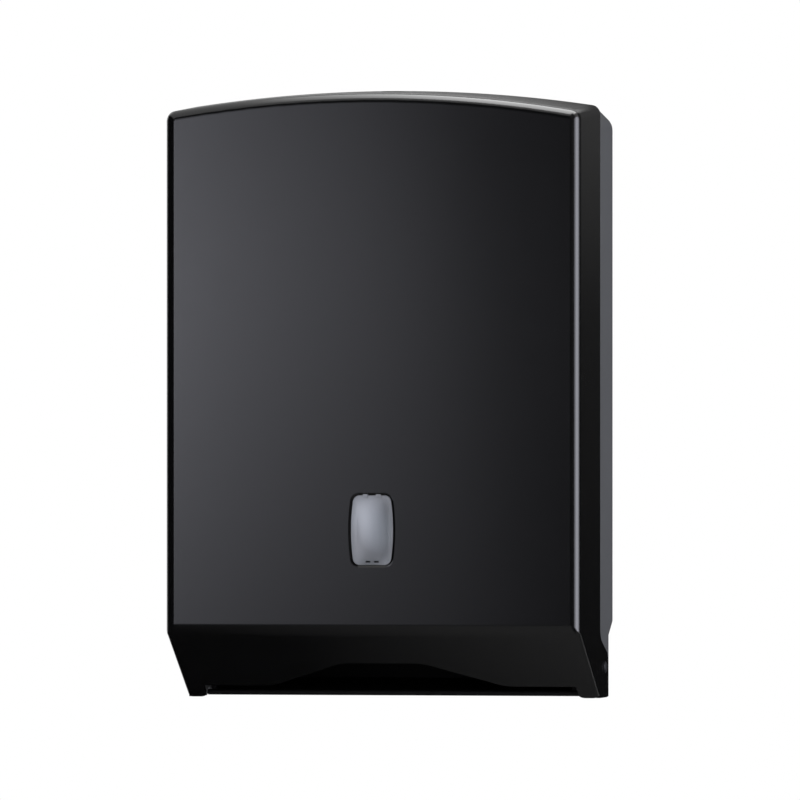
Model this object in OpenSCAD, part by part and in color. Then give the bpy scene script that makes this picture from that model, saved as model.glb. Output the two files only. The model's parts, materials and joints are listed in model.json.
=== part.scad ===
// Wall-hung dispenser for folded paper towels.
// The moulded cover swings forward and down on two pins low in the rear body.
// A cam lock in the cover's arched top catches behind a steel keeper.
// Frame: X to the right, the room side is -Y, the wall is the plane Y = 0, Z is up.
// The origin is the middle of the four wall screw holes, on the wall plane.

/* [Case] */
// Width of the cover over its side walls
case_w = 276; // [262:1:320]
// Height from the feet to the top of the arch
case_h = 400; // [390:1:460]
// Depth from the wall to the front face
case_d = 130; // [120:1:150]
// Depth of the cover's side walls, front face to rear rim
cover_d = 79; // [72:1:84]
// Wall thickness of the cover
cover_wall = 2.8; // [2.2:0.1:3.2]
// Thickness of the rear body's back plate
back_wall = 3; // [2.5:0.1:4]
// Wall thickness of the rear body's rim
body_wall = 2.5; // [2:0.1:3]
// Gap between the cover's rear rim and the rear body
rim_gap = 0.6; // [0.4:0.1:1.2]

/* [Cover form] */
// Rise of the arch at the front edge of the top
front_rise = 12.3; // [8:0.1:18]
// Rise of the arch at the rear rim of the top
rear_rise = 10.6; // [7:0.1:14]
// How much lower the arch lies at the front than at the rear rim
front_drop = 3.4; // [1:0.1:6]
// Radius of the rounded front edges
edge_r = 6.5; // [4.5:0.1:9]
// Radius of the cover's upper corners
corner_r = 6; // [4.5:0.1:9]
// Radius of the lower corners along the chin
chin_r = 3.5; // [2.5:0.1:4.5]
// Height at which the planes of the front face and the chin meet
knee_z = 44; // [40:0.5:52]
// Radius of the rounded edge between the front face and the chin
knee_r = 10; // [5:0.5:12]
// Depth of the flat under each foot, from the chin to the rear rim
foot_d = 5; // [3:0.5:8]

/* [Mouth] */
// Width of each foot beside the mouth slot
foot_w = 13.1; // [12.5:0.1:24]
// Length of chin that the mouth slot takes away
slot_len = 15.1; // [13:0.1:18]
// Width of the finger notch at the slot
notch_w = 156; // [120:1:180]
// Width of the flat top of the finger notch
notch_flat_w = 54; // [30:1:70]
// Depth of the finger notch beyond the slot
notch_len = 30.3; // [20:0.1:36]
// Radius of the finger notch's rounded turns
notch_r = 24; // [12:0.5:28]
// Radius of the feet's inner corners
foot_r = 4; // [2:0.1:6]

/* [Hinge] */
// Distance of the hinge axis from the wall
hinge_y = 33; // [30:0.5:36]
// Height of the hinge axis above the feet
hinge_z = 20; // [18:0.5:22]
// Diameter of the hinge pins
pin_d = 6; // [5:0.1:7]
// Diameter of the hinge pins' heads
pin_head_d = 8.4; // [8:0.1:10]
// Radial clearance of the cover's ears on the pins
pin_gap = 0.06; // [0.03:0.01:0.1]
// Distance of the ears' rear edge from the wall
ear_rear = 20; // [18:0.5:22]
// Height of the ears at their rear edge
ear_h = 30; // [28:0.5:33]
// Gap between an ear and the rear body beside it
ear_gap = 0.4; // [0.3:0.1:0.8]

/* [Window] */
// Height of the level window
window_h = 46; // [36:0.5:60]
// Width of the level window across its middle
window_w = 28.6; // [24:0.2:36]
// Bulge of each long side of the level window
window_bulge = 1.9; // [0.8:0.1:3]
// Height of the level window's centre above the feet
window_z = 111; // [95:1:150]
// Width of the sloping front edge of the window's opening
window_edge = 1.4; // [0.6:0.1:2]
// Gap round the level window
window_gap = 0.3; // [0.2:0.05:0.6]

/* [Lock] */
// Distance of the lock's axis behind the front face
lock_set = 60; // [50:0.5:61]
// Diameter of the lock's threaded barrel
barrel_d = 18; // [16:0.5:19]
// Diameter of the lock's flange
flange_d = 22; // [20.5:0.5:24]
// Diameter of the turning core
core_d = 12; // [10:0.5:13]
// Radial clearance of the core in its barrel
core_gap = 0.06; // [0.03:0.01:0.1]
// Reach of the cam from the lock's axis
cam_len = 27; // [25:0.5:32]
// Width of the cam
cam_w = 12; // [11:0.5:14]
// Sheet thickness of the cam and the keeper
sheet_t = 2; // [1.5:0.1:2.5]

/* [Towel guides] */
// Distance of each towel guide's inner face from the cover's side
guide_set = 13.5; // [12.5:0.5:24]
// Height of the towel guides
guide_h = 250; // [200:5:270]
// Height of the guides' lower end above the feet
guide_z = 76; // [70:1:90]
// Depth that the guides reach forward from the back plate
guide_d = 70; // [50:1:76]

/* [Wall screws] */
// Distance between the wall screw holes across
mount_w = 190; // [170:1:210]
// Distance between the wall screw holes up and down
mount_h = 250; // [220:1:270]
// Diameter of the wall screw holes
mount_hole_d = 5.6; // [4.5:0.1:6.5]
// Height of the middle of the wall screw holes above the feet
mount_z = 210; // [205:1:225]

/* [Hidden] */
$fn = 64;
eps = 0.01;

// Finishes
cover_black = [0.09, 0.09, 0.10];
body_grey = [0.22, 0.23, 0.24];
tray_black = [0.13, 0.13, 0.14];
frost = [0.62, 0.64, 0.68];
steel = [0.72, 0.73, 0.74];
nickel = [0.80, 0.80, 0.78];

// Places along the depth, as Y values
front_y = -case_d;
rim_y = front_y + cover_d;
body_rim_y = rim_y + rim_gap;
chin_end_y = rim_y - foot_d;
chin_run = chin_end_y - front_y;
axis_y = -hinge_y;
lock_y = front_y + lock_set;
half_w = case_w / 2;
flush_step = 0.5;
body_half_w = half_w - flush_step;
inset_half_w = half_w - cover_wall - ear_gap;
slot_w = case_w - 2 * foot_w;

// Chin: its slope, the centre of its rounded edge with the face, and the height of the feet
chin_angle = atan2(knee_z, chin_run);
knee_mid_y = front_y + knee_r;
knee_mid_z = knee_z + knee_r * tan((90 - chin_angle) / 2);
foot_h = 12;
foot_top = 2 * foot_h;

// Overlap that joins two forms of one moulding, and how far a cut runs past a face
weld = 0.5;
cut = 1;

// Arch radii of the cover's top at its front edge and at its rear rim
front_arch_r = arch_radius(case_w, front_rise);
rear_arch_r = arch_radius(case_w, rear_rise);
arch_steps = 28;
edge_steps = 5;
least_edge_r = 1;
least_chin_r = 0.7;

// Hinge: the foot's rear edge turns on this radius about the hinge axis
foot_sweep_r = norm([axis_y - rim_y, hinge_z - cover_wall]);
lug_clear = 1;
lug_r = foot_sweep_r - lug_clear;
pin_head_t = 1.6;
pin_head_gap = 0.2;
pin_len = 14;
lug_end_gap = 0.4;
lug_len = pin_len - pin_head_gap - cover_wall - ear_gap + lug_end_gap;
lug_wall = 4;
lug_boss_d = pin_d + 2 * lug_wall;
seat_gap = 0.02;
sweep_clear_angle = 3;

// Ears of the cover
ear_top_z = 39.5;
ear_root = 11;
ear_fillet_r = 10;
ear_corner_r = 5;

// Rear body: chamfered upper corners with a rounded edge, and the step in beside the ears
body_chamfer = 12;
body_round = 10;
chamfer_angle = 45;
chamfer_reach = 3 * body_chamfer;
step_low_z = 40.5;
step_high_z = 50;
body_apex = case_h - flush_step;
body_arch_r = rear_arch_r - flush_step;
rib_t = 2;
rib_h = 2.5;
rib_x = mount_w / 3;
rib_low_z = step_high_z;
mount_boss_d = 20;
rib_high_z = mount_z + mount_h / 2 + mount_boss_d / 2;
mount_boss_h = 1.5;

// Locating tongue of the rear body inside the cover's rim
tongue_len = 4;
tongue_t = 1.4;
tongue_root = 5;
tongue_gap = 0.6;
tongue_in = cover_wall + tongue_gap - flush_step;
tongue_rise = 14;
tongue_low_z = step_high_z + tongue_rise;

// Screws: all inner fixings are the same pan-head screw on the same boss
boss_d = 8;
boss_h = 3;
screw_d = 3;
screw_head_d = 6;
screw_head_h = 2.2;
screw_head_r = 1;
screw_clear = 0.2;
screw_skin = 1;
screw_end_gap = 0.2;
seat_y = -back_wall - boss_h;

// Towel tray
tray_gap = 2.7;
tray_half_w = slot_w / 2 - tray_gap;
tray_wall = 2.4;
tray_flange_top = 38;
tray_end_top = 7.2;
tray_end_low = 5.4;
tray_screw_z = 31;
tray_screw_inset = 32.2;
tray_screw_out = tray_half_w - tray_screw_inset;
tray_screw_x = [-tray_screw_out, -tray_screw_out / 3, tray_screw_out / 3, tray_screw_out];
lip_r = 1.8;
lip_gap = 0.4;
lip_half_w = slot_w / 2 - lip_gap;
lip_set = 1.1;
lip_y = chin_end_y + lip_set;
lip_z = 3.2;
tray_rear_z = 12;
tray_ribs = 6;
tray_rib_pitch = 2 * tray_half_w / tray_ribs;

// Level window
window_corner_r = 4;
window_edge_d = 0.9;
window_inner_r = 2;
window_recess = 0.9;
window_border = 4;
window_fall = 0.7;
hook_w = 3.4;
hook_x = 4.4;
hook_catch = 1.1;
hook_t = 1.2;
hook_gap = 0.2;
clip_slot_h = 0.9;
clip_slot_rise = 1.3;

// Lock: heights of the stack, from the flange down
lock_top = arch_top(lock_y);
flange_t = 2;
flange_sink = 0.5;
flange_gap = 0.2;
flange_top_z = lock_top - flange_sink;
flange_seat_z = flange_top_z - flange_t;
lock_boss_t = 6;
boss_low_z = flange_seat_z - lock_boss_t;
washer_t = 1;
washer_rim = 3.5;
washer_d = barrel_d + 2 * washer_rim;
lock_boss_rim = 1.5;
lock_boss_d = washer_d + 2 * lock_boss_rim;
nut_t = 4.2;
nut_wall = 2;
nut_af = barrel_d + 2 * nut_wall;
barrel_len = 24;
barrel_low_z = flange_seat_z - barrel_len;
fit = 0.1;
square_step = 2.4;
square_w = core_d - 2 * square_step;
neck_step = 0.5;
cam_drop = 2.4;
cam_top_z = barrel_low_z - cam_drop;
cam_low_z = cam_top_z - sheet_t;
cam_hub_d = cam_w + 2;
cam_screw_d = 4;
cam_screw_len = 10;
cam_bore_room = 1;
cam_screw_head_d = 8;
cam_screw_head_h = 2.8;
cam_washer_t = 0.8;
cam_washer_d = 11;
key_slot_w = 1.8;
key_slot_len = 8;
key_slot_depth = 5;

// Keeper: a bent strip whose turned-down end stands in front of the locked cam
keeper_w = 16;
keeper_x = 16;
keeper_fin_gap = 1.6;
keeper_rise = 7;
keeper_arm_z = cam_top_z + keeper_rise;
keeper_hang = 4.5;
keeper_fin_low = cam_low_z - keeper_hang;
keeper_fin_y = lock_y - cam_w / 2 - keeper_fin_gap;
keeper_foot_len = 30;
keeper_foot_low = keeper_arm_z - keeper_foot_len;
keeper_bend = 3;
keeper_screw_drop = 11;
keeper_screw_pitch = 12;
keeper_screw_high = keeper_arm_z - keeper_screw_drop;
keeper_screw_z = [keeper_screw_high - keeper_screw_pitch, keeper_screw_high];

// Towel guides
guide_t = 2;
guide_foot_w = 9.4;
guide_foot_t = 2.4;
gusset_d = 9.6;
guide_nose_r = 10;
guide_x = half_w - guide_set;
guide_screw_end = 34;
guide_screw_z = [guide_z + guide_screw_end, guide_z + guide_h / 2, guide_z + guide_h - guide_screw_end];
guide_screw_x = guide_x + (guide_t + guide_foot_w) / 2;

// Radius of an arch of a given chord and rise
function arch_radius(w, rise) = (w * w / 4 + rise * rise) / (2 * rise);

// Height of the top of the cover's arch at depth y
function arch_top(y) = case_h - front_drop * (rim_y - y) / cover_d;

// Height of the chin's outer face at depth y
function chin_z(y) = knee_z * (chin_end_y - y) / chin_run;

// Height of the underside at depth y, for the form drawn in by a wall thickness
function underside(y, in) =
    y < knee_mid_y - (knee_r - in) * sin(chin_angle)
        ? knee_mid_z - sqrt(max(0, pow(knee_r - in, 2) - pow(y - knee_mid_y, 2)))
        : max(in, chin_z(y) + in / cos(chin_angle));

// Points along a circle from angle a to angle b
function arc(cx, cy, r, a, b, n) = [for (i = [0:n]) arc_point(cx, cy, r, a + (b - a) * i / n)];

// Points of an arc without its two ends
function inner_arc(cx, cy, r, a, b, n) = [for (i = [1:n - 1]) arc_point(cx, cy, r, a + (b - a) * i / n)];

// The point of a circle at one angle
function arc_point(cx, cy, r, a) = [cx + r * cos(a), cy + r * sin(a)];

// Cross-section of the cover: straight sides, rounded corners and an arched top
function arched_section(hw, low, apex, r, low_r, top_r) =
    let (zc = apex - r, cx = hw - top_r, cz = zc + sqrt(pow(r - top_r, 2) - cx * cx), a = atan2(cz - zc, cx))
    concat(arc(hw - low_r, low + low_r, low_r, -90, 0, 5), arc(cx, cz, top_r, 0, a, 6),
        inner_arc(0, zc, r, a, 180 - a, arch_steps), arc(-cx, cz, top_r, 180 - a, 180, 6),
        arc(-hw + low_r, low + low_r, low_r, 180, 270, 5));

// Outline of the level window: a barrel shape with rounded corners
function barrel_outline(w, h, bulge, r) =
    let (side_r = h * h / (8 * bulge) + bulge / 2, cx = w / 2 - side_r, top = h / 2 - r,
        kx = cx + sqrt((side_r - r) * (side_r - r) - top * top), a = atan2(top, kx - cx))
    concat(arc(cx, 0, side_r, -a, a, 10), inner_arc(kx, top, r, a, 90, 6), [[kx, h / 2], [-kx, h / 2]],
        inner_arc(-kx, top, r, 90, 180 - a, 6), arc(-cx, 0, side_r, 180 - a, 180 + a, 10),
        inner_arc(-kx, -top, r, 180 + a, 270, 6), [[-kx, -h / 2], [kx, -h / 2]],
        inner_arc(kx, -top, r, 270, 360 - a, 6));

// Moves a piece from heights above the feet to the frame of the wall screws
module placed() translate([0, 0, -mount_z]) children();

// Extrudes an XZ outline from depth y towards the wall
module upright(y, t) translate([0, y + t, 0]) rotate([90, 0, 0]) linear_extrude(t) children();

// Extrudes a YZ outline along X from x
module sideways(x, t) translate([x, 0, 0]) rotate([90, 0, 90]) linear_extrude(t) children();

// A round bar along X
module bar(x, y, z, d, len) translate([x, y, z]) rotate([0, 90, 0]) cylinder(d = d, h = len);

// A round bar along Y, from depth y towards the wall
module peg(x, y, z, d, len) translate([x, y, z]) rotate([-90, 0, 0]) cylinder(d = d, h = len);

// A pan-head screw with its head's seat at depth y, pointing at the wall
module pan_screw(x, y, z) {
    tip_y = -screw_skin - screw_end_gap;
    peg(x, y, z, screw_d, tip_y - y);
    translate([x, y, z])
        rotate([90, 0, 0])
            rotate_extrude()
                polygon(concat([[0, 0], [screw_head_d / 2, 0]],
                    arc(screw_head_d / 2 - screw_head_r, screw_head_h - screw_head_r, screw_head_r, 0, 90, 5),
                    [[0, screw_head_h]]));
}

// A fixing boss on the back plate
module boss(x, z) peg(x, seat_y, z, boss_d, boss_h + weld);

// The blind hole of a fixing screw in the back plate and its boss
module boss_hole(x, z) peg(x, seat_y - cut, z, screw_d + 2 * seat_gap, -screw_skin - seat_y + cut);

// A clearance hole for a fixing screw, through a flange of thickness t on its boss
module screw_hole(x, z, t) peg(x, seat_y - 2 * t, z, screw_d + 2 * screw_clear, 3 * t);

// Full form of the cover, drawn in by a wall thickness
module cover_form(in) {
    r = max(edge_r - in, least_edge_r);
    low_r = max(chin_r - in, least_chin_r);
    flat_y = chin_end_y + in * tan(chin_angle / 2);
    rear_y = in > 0 ? rim_y + cut : rim_y - eps;
    hull() {
        for (a = [0:90 / edge_steps:90]) {
            y = front_y + in + r * (1 - cos(a));
            draw = in + r * (1 - sin(a));
            upright(y, eps)
                polygon(arched_section(half_w - draw, underside(y, in), arch_top(y) - draw,
                    front_arch_r - draw, low_r, corner_r - in));
        }
        upright(flat_y, eps)
            polygon(arched_section(half_w - in, in, foot_top, rear_arch_r, low_r, least_edge_r));
        upright(rear_y, eps)
            polygon(arched_section(half_w - in, in, case_h - in, rear_arch_r - in, low_r, corner_r - in));
    }
}

// Outline of an ear in the YZ plane, from its root in the side wall to its rear edge, grown by a gap
module ear_outline(grow) {
    corner = ear_corner_r + grow;
    fillet = ear_fillet_r - grow;
    ear_slope = atan2(ear_top_z - ear_h, ear_y_span());
    reach = ear_fillet_r * tan((90 - ear_slope) / 2);
    polygon(concat(
        [[rim_y - ear_root, ear_top_z / 2], [rim_y - weld, chin_r + weld], [rim_y - weld, 0]],
        arc(-ear_rear - ear_corner_r, ear_corner_r, corner, 270, 360, 6),
        arc(-ear_rear - ear_corner_r, ear_h - ear_corner_r, corner, 0, 90 - ear_slope, 6),
        arc(rim_y + ear_fillet_r, ear_top_z + reach, fillet, 270 - ear_slope, 180, 8),
        [[rim_y - ear_root, ear_top_z + reach + ear_root]]));
}

// Depth over which the ear's upper edge falls
function ear_y_span() = -ear_rear - ear_corner_r - rim_y;

// Mouth slot and finger notch, in the chin's own plane: X across, Y up the chin from the feet
module mouth_outline() {
    steep = atan2(notch_len, (notch_w - notch_flat_w) / 2);
    reach = notch_r * tan(steep / 2);
    right = concat([[slot_w / 2 + foot_r, -foot_h]], arc(slot_w / 2 + foot_r, foot_r, foot_r, 270, 180, 5),
        [[slot_w / 2, slot_len]],
        arc(notch_w / 2 + reach, slot_len + notch_r, notch_r, -90, -90 - steep, 6),
        arc(notch_flat_w / 2 - reach, slot_len + notch_len - notch_r, notch_r, 90 - steep, 90, 6));
    left = [for (i = [len(right) - 1:-1:0]) [-right[i][0], right[i][1]]];
    polygon(concat(right, left));
}

// Cuts the mouth square through the sloping chin
module mouth_cut() {
    depth = 4 * cover_wall + 2 * foot_d;
    translate([0, chin_end_y, 0])
        rotate([180 - chin_angle, 0, 0])
            translate([0, 0, -depth / 2])
                linear_extrude(depth) mouth_outline();
}

// Moulded front cover: face, arched top, side walls, chin, feet and hinge ears
module front_cover() color(cover_black) placed() difference() {
    union() {
        difference() {
            cover_form(0);
            cover_form(cover_wall);
            mouth_cut();
        }
        for (side = [0, 1])
            mirror([side, 0, 0])
                sideways(half_w - cover_wall, cover_wall) ear_outline(0);
        translate([0, lock_y, boss_low_z]) cylinder(d = lock_boss_d, h = flange_seat_z - boss_low_z + weld);
    }
    bar(-case_w, axis_y, hinge_z, pin_d + 2 * pin_gap, 2 * case_w);
    translate([0, lock_y, boss_low_z - cut]) cylinder(d = barrel_d + 2 * fit, h = case_h);
    translate([0, lock_y, flange_seat_z]) cylinder(d = flange_d + 2 * flange_gap, h = case_h);
    window_opening();
}

// The window's opening through the face, flared at its front edge
module window_opening() translate([0, 0, window_z]) {
    upright(front_y, cover_wall + cut)
        polygon(barrel_outline(window_w, window_h, window_bulge, window_corner_r));
    hull() {
        upright(front_y - eps, eps)
            polygon(barrel_outline(window_w + 2 * window_edge, window_h + 2 * window_edge, window_bulge,
                window_corner_r + window_edge));
        upright(front_y + window_edge_d, eps)
            polygon(barrel_outline(window_w, window_h, window_bulge, window_corner_r));
    }
}

// Outline of the rear body in the XZ plane, drawn in by a wall thickness
module body_outline(in, low) {
    low_hw = inset_half_w - in;
    corner_x = body_half_w - body_chamfer;
    corner_z = body_apex - body_arch_r + sqrt(body_arch_r * body_arch_r - corner_x * corner_x);
    round_z = corner_z - body_chamfer - body_round * tan(chamfer_angle / 2);
    shoulder = arc(body_half_w - body_round, round_z, body_round - in, 0, chamfer_angle, 6);
    slope = chamfer_reach * [-sin(chamfer_angle), cos(chamfer_angle)];
    right = concat([[low_hw, low], [low_hw, step_low_z], [body_half_w - in, step_high_z]], shoulder,
        [shoulder[len(shoulder) - 1] + slope]);
    left = [for (i = [len(right) - 1:-1:0]) [-right[i][0], right[i][1]]];
    intersection() {
        polygon(concat(right, left));
        translate([0, body_apex - body_arch_r]) circle(r = body_arch_r - in, $fn = 256);
    }
}

// What is cut away under the rear body's side walls, so that the cover's feet can swing past
module foot_path() {
    stop = foot_sweep_angle();
    difference() {
        sideways(-case_w, 2 * case_w)
            polygon([[-back_wall, -foot_h], [-back_wall, hinge_z + lug_r * sin(stop)],
                [axis_y + lug_r * cos(stop), hinge_z + lug_r * sin(stop)], [axis_y, hinge_z],
                [axis_y - lug_r * sin(chin_angle), hinge_z - lug_r * cos(chin_angle)],
                [rim_y - foot_h, hinge_z - lug_r * cos(chin_angle)
                    + (axis_y - lug_r * sin(chin_angle) - rim_y + foot_h) * tan(chin_angle)],
                [rim_y - foot_h, -foot_h]]);
        bar(-case_w - cut, axis_y, hinge_z, 2 * lug_r, 2 * case_w + 2 * cut);
    }
}

// Angle about the hinge axis that the foot's rear edge reaches with the cover fully open
function foot_sweep_angle() = atan2(rim_y - axis_y, hinge_z) + sweep_clear_angle;

// Rear body: back plate, rim, hinge lugs, ribs and fixing bosses
module rear_body() color(body_grey) placed() difference() {
    union() {
        difference() {
            upright(body_rim_y, -body_rim_y) body_outline(0, 0);
            upright(body_rim_y - cut, -body_rim_y + cut - back_wall) body_outline(body_wall, -foot_h);
            foot_path();
        }
        rim_tongue();
        for (side = [-1, 1]) {
            bar(side * (inset_half_w - lug_len / 2) - lug_len / 2, axis_y, hinge_z, lug_boss_d, lug_len);
            translate([side * rib_x - rib_t / 2, -back_wall - rib_h, rib_low_z])
                cube([rib_t, rib_h + weld, rib_high_z - rib_low_z]);
            for (up = [-1, 1])
                peg(side * mount_w / 2, -back_wall - mount_boss_h, mount_z + up * mount_h / 2, mount_boss_d,
                    mount_boss_h + weld);
        }
        for (z = [rib_low_z, rib_high_z - rib_t])
            translate([-rib_x, -back_wall - rib_h, z]) cube([2 * rib_x, rib_h + weld, rib_t]);
        all_bosses();
    }
    for (side = [-1, 1], up = [-1, 1])
        peg(side * mount_w / 2, -2 * back_wall, mount_z + up * mount_h / 2, mount_hole_d, 3 * back_wall);
    for (side = [0, 1])
        mirror([side, 0, 0])
            sideways(inset_half_w, case_w) ear_outline(ear_gap);
    bar(-case_w, axis_y, hinge_z, pin_d + 2 * seat_gap, 2 * case_w);
    all_boss_holes();
}

// Tongue round the upper rim that locates the closed cover and hides the gap
module rim_tongue() intersection() {
    union() {
        difference() {
            upright(body_rim_y - tongue_len, tongue_len + tongue_root) body_outline(tongue_in, 0);
            upright(body_rim_y - tongue_len - cut, tongue_len + tongue_root + 2 * cut)
                body_outline(tongue_in + tongue_t, -foot_h);
        }
        difference() {
            upright(body_rim_y + cut, tongue_root - cut) body_outline(body_wall - weld, 0);
            upright(body_rim_y, tongue_root + cut) body_outline(tongue_in + tongue_t, -foot_h);
        }
    }
    translate([-case_w, -case_d, tongue_low_z]) cube([2 * case_w, case_d, case_h]);
}

// Every fixing boss on the back plate
module all_bosses() {
    for (x = tray_screw_x) boss(x, tray_screw_z);
    for (z = keeper_screw_z) boss(keeper_x + keeper_w / 2, z);
    for (side = [-1, 1], z = guide_screw_z) boss(side * guide_screw_x, z);
}

// Every screw hole in the fixing bosses
module all_boss_holes() {
    for (x = tray_screw_x) boss_hole(x, tray_screw_z);
    for (z = keeper_screw_z) boss_hole(keeper_x + keeper_w / 2, z);
    for (side = [-1, 1], z = guide_screw_z) boss_hole(side * guide_screw_x, z);
}

// Frosted level window, clipped into the face by four hooks, with slots in front of the lower two
module level_window() color(frost) placed() translate([0, 0, window_z]) {
    w = window_w - 2 * window_gap;
    h = window_h - 2 * window_gap;
    back_y = front_y + cover_wall;
    edge_y = front_y + window_recess + window_fall;
    difference() {
        hull() {
            upright(front_y + window_recess, eps)
                polygon(barrel_outline(w - 2 * window_border, h - 2 * window_border, window_bulge,
                    window_inner_r));
            upright(edge_y, back_y - edge_y)
                polygon(barrel_outline(w, h, window_bulge, window_corner_r));
        }
        for (side = [-1, 1])
            translate([side * hook_x - hook_w / 2, front_y, clip_slot_rise - h / 2])
                cube([hook_w, 2 * cover_wall, clip_slot_h]);
    }
    for (up = [-1, 1], side = [-1, 1])
        translate([side * hook_x - hook_w / 2, 0, up * (h / 2 - hook_t / 2) - hook_t / 2]) {
            translate([0, back_y - weld, 0]) cube([hook_w, 2 * hook_t + hook_gap + weld, hook_t]);
            translate([0, back_y + hook_gap, up > 0 ? 0 : -hook_catch])
                cube([hook_w, 2 * hook_t, hook_t + hook_catch]);
        }
}

// Towel tray: the floor behind the mouth, its rolled lip, ribs and screw flange
module towel_tray() color(tray_black) placed() difference() {
    union() {
        sideways(-tray_half_w, 2 * tray_half_w)
            polygon([[seat_y, lip_z], [seat_y, tray_flange_top], [seat_y - tray_wall, tray_flange_top],
                [seat_y - tray_wall, tray_rear_z], [lip_y, lip_z + lip_r], [lip_y, lip_z],
                [seat_y - tray_wall, tray_rear_z - tray_wall], [seat_y - tray_wall, lip_z]]);
        bar(-lip_half_w, lip_y, lip_z, 2 * lip_r, 2 * lip_half_w);
        for (i = [0:tray_ribs - 1])
            sideways((i + 0.5) * tray_rib_pitch - tray_half_w - rib_t / 2, rib_t)
                polygon([[seat_y, lip_z], [seat_y, tray_rear_z], [lip_y + lip_r / 2, lip_z + lip_r / 2],
                    [lip_y + lip_r / 2, lip_z]]);
        for (x = [-tray_half_w, tray_half_w - tray_wall])
            sideways(x, tray_wall)
                polygon([[seat_y, lip_z], [seat_y, tray_flange_top],
                    [seat_y - tray_end_top, tray_flange_top], [lip_y, lip_z + tray_end_low], [lip_y, lip_z]]);
    }
    for (x = tray_screw_x) screw_hole(x, tray_screw_z, tray_wall);
}

// Screws that hold the towel tray
module tray_screws() color(steel) placed()
    for (x = tray_screw_x) pan_screw(x, seat_y - tray_wall, tray_screw_z);

// A hinge pin with a domed head, on the right-hand side
module hinge_pin() color(steel) placed() translate([half_w + pin_head_gap, axis_y, hinge_z])
    rotate([0, 90, 0]) {
    dome_r = pin_head_d * pin_head_d / (8 * pin_head_t) + pin_head_t / 2;
    translate([0, 0, -pin_len]) cylinder(d = pin_d, h = pin_len);
    intersection() {
        cylinder(d = pin_head_d, h = pin_head_t);
        translate([0, 0, pin_head_t - dome_r]) sphere(r = dome_r, $fn = 96);
    }
}

// Right hinge pin
module right_hinge_pin() hinge_pin();

// Left hinge pin
module left_hinge_pin() mirror([1, 0, 0]) hinge_pin();

// Lock housing: flange and barrel, bored for the core
module lock_housing() color(nickel) placed() translate([0, lock_y, 0]) difference() {
    union() {
        translate([0, 0, flange_seat_z]) cylinder(d = flange_d, h = flange_t);
        translate([0, 0, barrel_low_z]) cylinder(d = barrel_d, h = barrel_len + eps);
    }
    translate([0, 0, barrel_low_z - cut]) cylinder(d = core_d + 2 * core_gap, h = barrel_len + 2 * flange_t);
}

// Washer under the lock's nut
module lock_washer() color(steel) placed() translate([0, lock_y, boss_low_z - washer_t]) difference() {
    cylinder(d = washer_d, h = washer_t);
    translate([0, 0, -cut]) cylinder(d = barrel_d + 2 * fit, h = washer_t + 2 * cut);
}

// Hexagon nut that clamps the lock in the cover
module lock_nut() color(nickel) placed() translate([0, lock_y, boss_low_z - washer_t - nut_t]) difference() {
    cylinder(d = nut_af / cos(30), h = nut_t, $fn = 6);
    translate([0, 0, -cut]) cylinder(d = barrel_d + 2 * seat_gap, h = nut_t + 2 * cut);
}

// Turning core with a key slot above and a square for the cam below
module lock_core() color(nickel) placed() translate([0, lock_y, 0]) difference() {
    union() {
        translate([0, 0, barrel_low_z - fit]) cylinder(d = core_d, h = flange_top_z - barrel_low_z);
        translate([-square_w / 2, -square_w / 2, cam_low_z + fit])
            cube([square_w, square_w, barrel_low_z - cam_low_z]);
        translate([0, 0, cam_top_z]) cylinder(d = core_d - 2 * neck_step, h = barrel_low_z - cam_top_z);
    }
    translate([-key_slot_w / 2, -key_slot_len / 2, flange_top_z - key_slot_depth])
        cube([key_slot_w, key_slot_len, 2 * key_slot_depth]);
    translate([0, 0, cam_low_z - cut])
        cylinder(d = cam_screw_d + 2 * seat_gap, h = cam_screw_len + cam_bore_room + cut);
}

// Cam: a flat arm on the core's square, pointing at the wall when unlocked
module lock_cam() color(steel) placed() translate([0, lock_y, cam_low_z]) difference() {
    union() {
        cylinder(d = cam_hub_d, h = sheet_t);
        translate([-cam_w / 2, 0, 0]) cube([cam_w, cam_len - cam_w / 2, sheet_t]);
        translate([0, cam_len - cam_w / 2, 0]) cylinder(d = cam_w, h = sheet_t);
    }
    translate([-square_w / 2 - fit, -square_w / 2 - fit, -cut])
        cube([square_w + 2 * fit, square_w + 2 * fit, sheet_t + 2 * cut]);
}

// Spring washer between the cam and its screw
module cam_washer() color(steel) placed() translate([0, lock_y, cam_low_z - cam_washer_t]) difference() {
    cylinder(d = cam_washer_d, h = cam_washer_t);
    translate([0, 0, -cut]) cylinder(d = cam_screw_d + 2 * fit, h = cam_washer_t + 2 * cut);
}

// Screw that holds the cam on the core
module cam_screw() color(steel) placed() translate([0, lock_y, cam_low_z - cam_washer_t]) {
    cylinder(d = cam_screw_d, h = cam_screw_len);
    translate([0, 0, -cam_screw_head_h])
        rotate_extrude()
            polygon(concat([[0, 0]],
                arc(cam_screw_head_d / 2 - screw_head_r, screw_head_r, screw_head_r, 270, 360, 5),
                [[cam_screw_head_d / 2, cam_screw_head_h], [0, cam_screw_head_h]]));
}

// Outline of the keeper's bent strip in the YZ plane
module keeper_outline() {
    r = keeper_bend;
    t = sheet_t;
    foot_y = seat_y;
    top = keeper_arm_z + t;
    fin = keeper_fin_y;
    polygon(concat([[foot_y, keeper_foot_low]], arc(foot_y - r, top - r, r, 0, 90, 5),
        arc(fin - t + r, top - r, r, 90, 180, 5), [[fin - t, keeper_fin_low], [fin, keeper_fin_low]],
        arc(fin + r - t, top - r, r - t, 180, 90, 5), arc(foot_y - r, top - r, r - t, 90, 0, 5),
        [[foot_y - t, keeper_foot_low]]));
}

// Steel keeper that the cam turns behind
module lock_keeper() color(steel) placed() difference() {
    sideways(keeper_x, keeper_w) keeper_outline();
    for (z = keeper_screw_z) screw_hole(keeper_x + keeper_w / 2, z, sheet_t);
}

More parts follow.
